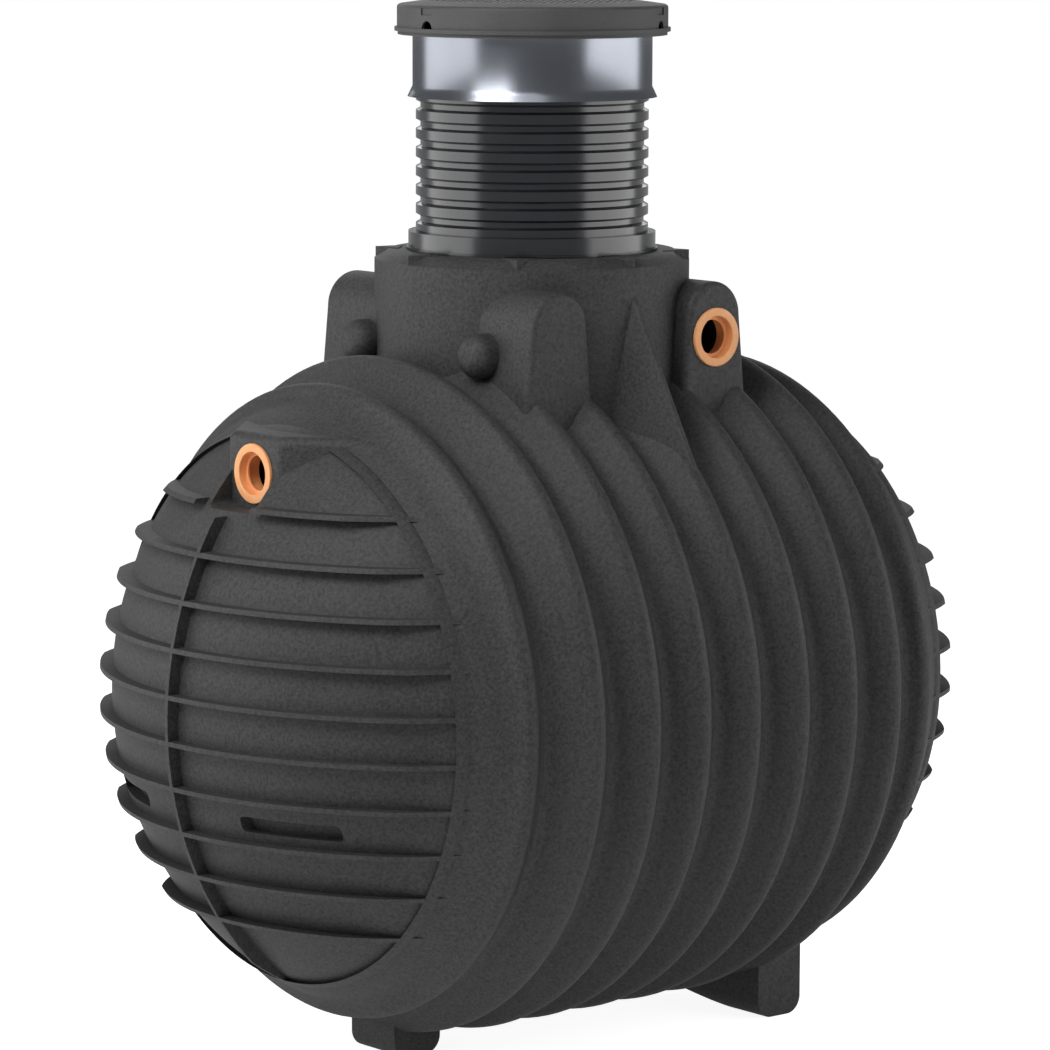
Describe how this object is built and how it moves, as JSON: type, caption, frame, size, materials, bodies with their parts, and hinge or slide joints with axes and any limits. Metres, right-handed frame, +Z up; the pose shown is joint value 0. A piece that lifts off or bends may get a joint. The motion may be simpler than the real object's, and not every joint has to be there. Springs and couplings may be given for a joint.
{
  "type": "underground cesspool tank",
  "caption": "Buried ribbed plastic tank with dished ends, a neck, pipe seals, and a grooved shaft with a telescopic sleeve and round lid.",
  "frame": {"origin": "on the ground on the axis of the neck and shaft, halfway along and across the tank", "axes": "+Z up along the shaft, X along the barrel with the inlet end at -X, and the outlet seal on the -Y side"},
  "size_m": [2.5458, 1.92, 2.93],
  "materials": {
    "tank_plastic": "rotomoulded polyethylene with a fine matt grain",
    "shaft_plastic": "smooth glossy black",
    "sleeve_plastic": "smooth blue-grey with a satin sheen",
    "cover_plastic": "matt dark grey",
    "seal_rubber": "smooth orange seal with a satin face",
    "gasket_rubber": "black rubber"
  },
  "bodies": {
    "root": {"barrel_shell": "tank_plastic", "cover_frame": "cover_plastic", "cover_lid": "cover_plastic", "front_end": "tank_plastic", "front_end_boss": "tank_plastic", "front_foot": "tank_plastic", "front_left_boss": "tank_plastic", "front_right_boss": "tank_plastic", "inlet_seal": "seal_rubber", "left_fin": "tank_plastic", "neck": "tank_plastic", "outlet_seal": "seal_rubber", "rear_end": "tank_plastic", "rear_end_boss": "tank_plastic", "rear_left_boss": "tank_plastic", "rear_left_foot": "tank_plastic", "rear_right_boss": "tank_plastic", "rear_right_foot": "tank_plastic", "right_fin": "tank_plastic", "shaft_socket": "shaft_plastic", "shaft_tube": "shaft_plastic", "sleeve": "sleeve_plastic", "sleeve_gasket": "gasket_rubber"}
  },
  "joints": []
}
